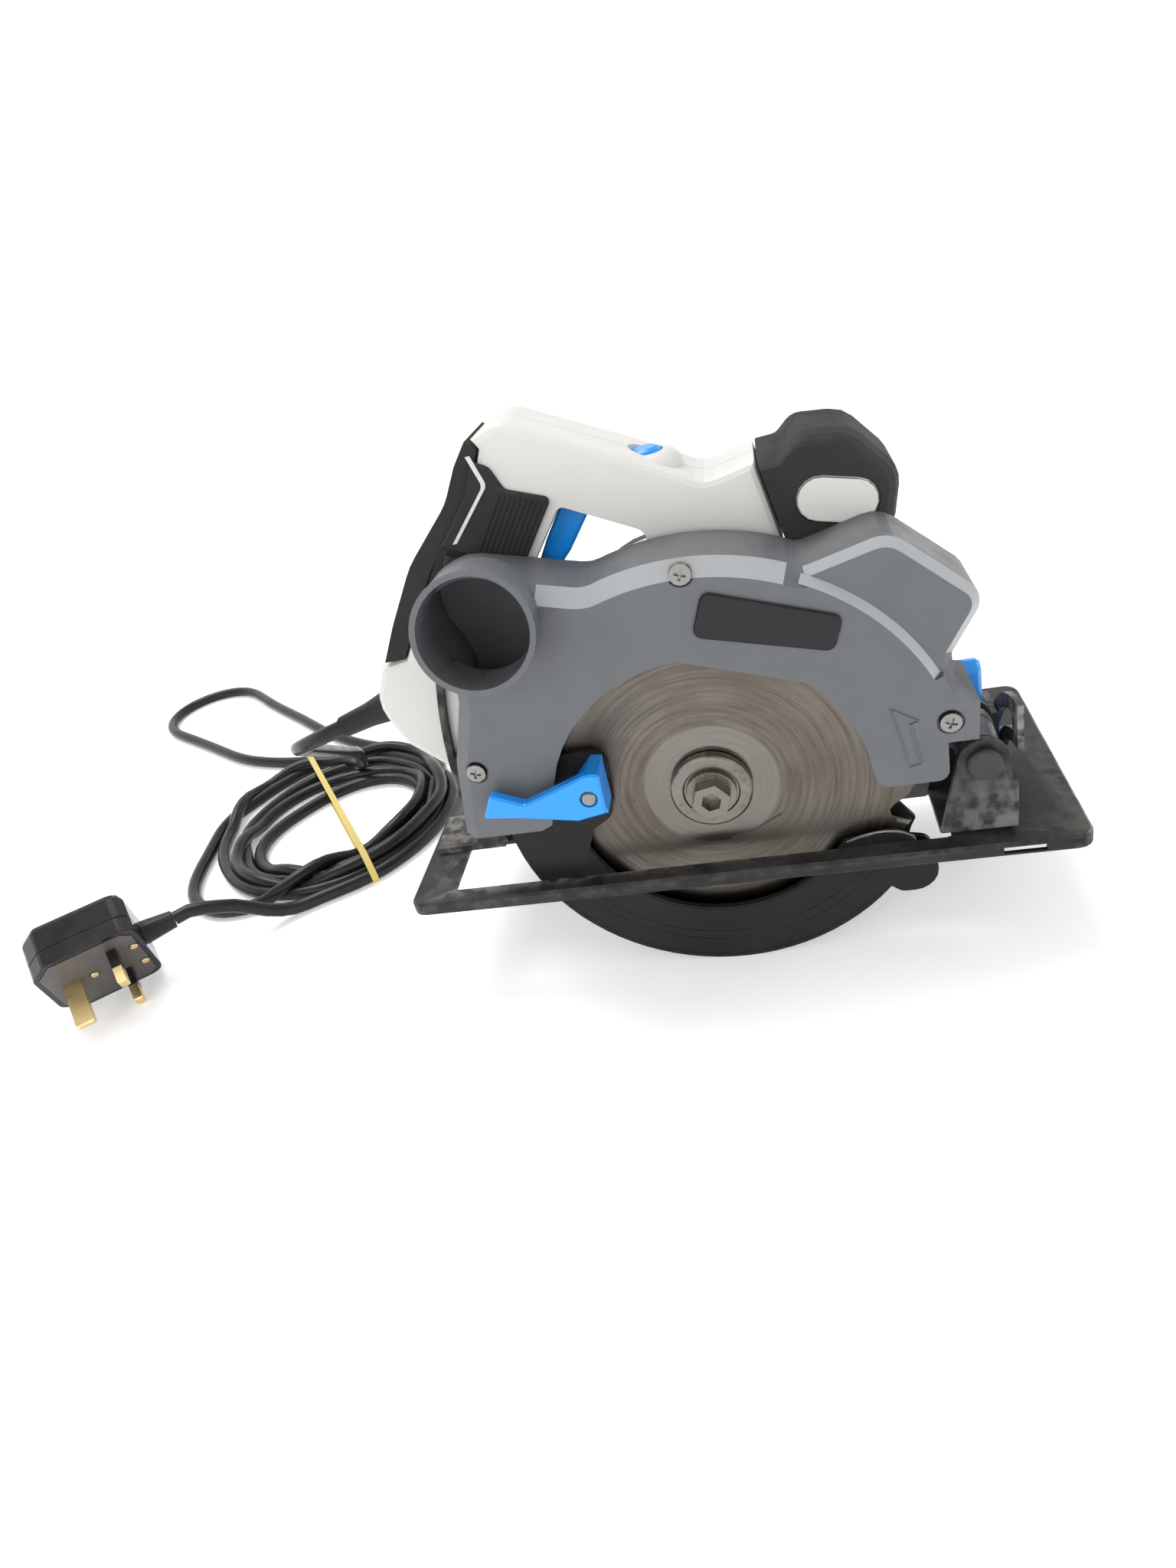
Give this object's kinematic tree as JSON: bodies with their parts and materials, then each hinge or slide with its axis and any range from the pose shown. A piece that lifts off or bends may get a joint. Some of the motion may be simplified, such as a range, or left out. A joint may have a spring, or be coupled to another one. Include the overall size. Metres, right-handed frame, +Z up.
{
  "type": "circular saw",
  "caption": "Corded hand-held circular saw with a grey blade guard, dust port, sprung lower guard, tilting sole, coiled cord and three-pin plug.",
  "frame": {"origin": "centre of the saw's box in plan, cord left out, on the level of the closed lower guard's lowest point", "axes": "+X forwards along the cut, +Y towards the motor side, +Z up, square to the sole"},
  "size_m": [0.575, 0.3953, 0.218],
  "materials": {
    "black_plastic": "satin moulded",
    "blade_steel": "ground, with swirl marks",
    "blue_plastic": "smooth",
    "brass": "bright",
    "carbon": "sintered carbon",
    "cast_aluminium": "as cast",
    "copper": "enamelled copper wire",
    "cord_pvc": "smooth sheath",
    "grip_rubber": "matt, dusty",
    "guard_grey": "satin moulded",
    "rubber_band": "tan latex",
    "sole_paint": "black, dusty",
    "steel": "plated",
    "white_plastic": "smooth satin moulded"
  },
  "bodies": {
    "saw_body": {"armature_bearing_front": "steel", "armature_bearing_rear": "steel", "brush_lower": "carbon", "brush_ring": "black_plastic", "brush_upper": "carbon", "cord_hank": "cord_pvc", "cord_lead": "cord_pvc", "cord_loop": "cord_pvc", "cord_tail": "cord_pvc", "earth_pin": "brass", "field_winding": "copper", "front_knob": "grip_rubber", "gear_case": "cast_aluminium", "grip_pad": "grip_rubber", "guard_back": "guard_grey", "guard_cover": "guard_grey", "guard_screw_front": "steel", "guard_screw_rear": "steel", "guard_screw_top": "steel", "guard_spring": "steel", "handle_far": "white_plastic", "handle_near": "white_plastic", "handle_screw": "steel", "knob_cap": "white_plastic", "label_plate": "black_plastic", "live_pin": "brass", "motor_end_cap": "black_plastic", "motor_housing": "white_plastic", "neutral_pin": "brass", "plug_base": "black_plastic", "plug_cover": "black_plastic", "plug_sleeve": "black_plastic", "rear_grip": "grip_rubber", "rubber_band": "rubber_band", "spindle_bearing": "steel", "stator_core": "steel", "strain_relief": "black_plastic", "switch_body": "black_plastic"},
    "blade_spindle": {"spindle": "steel", "output_gear": "steel", "inner_flange": "steel", "blade": "blade_steel", "outer_flange": "steel", "blade_bolt": "steel"},
    "armature": {"armature_shaft": "steel", "armature_core": "steel", "commutator": "copper", "cooling_fan": "black_plastic"},
    "lower_guard": {"lower_guard_shell": "black_plastic", "guard_lever": "blue_plastic", "guard_lever_screw": "steel"},
    "trigger_body": {"trigger": "blue_plastic"},
    "lock_off": {"lock_off_button": "blue_plastic"},
    "arbor_lock": {"arbor_lock_button": "black_plastic"},
    "depth_frame": {"front_bracket": "sole_paint", "depth_pivot_pin": "steel", "depth_guide": "sole_paint"},
    "sole": {"sole_plate": "sole_paint"},
    "bevel_lock": {"bevel_lock_lever": "blue_plastic"},
    "depth_lock": {"depth_lock_lever": "black_plastic"}
  },
  "joints": [
    {"name": "blade_spin", "type": "hinge", "parent": "saw_body", "child": "blade_spindle", "pos_m": [-0.0015, -0.041, 0.08], "axis": [0, -1, 0], "continuous": true},
    {"name": "armature_spin", "type": "hinge", "parent": "saw_body", "child": "armature", "pos_m": [-0.0151, 0.019, 0.1067], "axis": [0, -1, 0], "continuous": true},
    {"name": "lower_guard_swing", "type": "hinge", "parent": "saw_body", "child": "lower_guard", "pos_m": [-0.0015, -0.041, 0.08], "axis": [0, 1, 0], "range_deg": [0, 110], "stiffness_Nm_per_rad": 0.12, "springref_deg": -40.11},
    {"name": "trigger_squeeze", "type": "hinge", "parent": "saw_body", "child": "trigger_body", "pos_m": [-0.0365, -0.003, 0.189], "axis": [0, 1, 0], "range_deg": [0, 8], "stiffness_Nm_per_rad": 0.2, "springref_deg": -8.59},
    {"name": "lock_off_press", "type": "slide", "parent": "saw_body", "child": "lock_off", "axis": [0, 0, -1], "range_m": [0, 0.003], "stiffness_N_per_m": 250, "springref_m": -0.004},
    {"name": "arbor_lock_press", "type": "slide", "parent": "saw_body", "child": "arbor_lock", "axis": [-1, 0, 0], "range_m": [0, 0.003], "stiffness_N_per_m": 250, "springref_m": -0.004},
    {"name": "depth_setting", "type": "hinge", "parent": "saw_body", "child": "depth_frame", "pos_m": [0.0935, -0.036, 0.081], "axis": [0, -1, 0], "range_deg": [0, 22]},
    {"name": "bevel_setting", "type": "hinge", "parent": "depth_frame", "child": "sole", "pos_m": [-0.0015, -0.0475, 0.049], "axis": [-1, 0, 0], "range_deg": [0, 45]},
    {"name": "bevel_lock_turn", "type": "hinge", "parent": "depth_frame", "child": "bevel_lock", "pos_m": [0.0985, -0.011, 0.068], "axis": [-1, 0, 0], "range_deg": [0, 60]},
    {"name": "depth_lock_turn", "type": "hinge", "parent": "saw_body", "child": "depth_lock", "pos_m": [-0.10078, 0.017, 0.09459], "axis": [0, -1, 0], "range_deg": [0, 60]}
  ],
  "couplings": [
    {"joint": "armature_spin", "follows": "blade_spin", "ratio": -4.75}
  ]
}
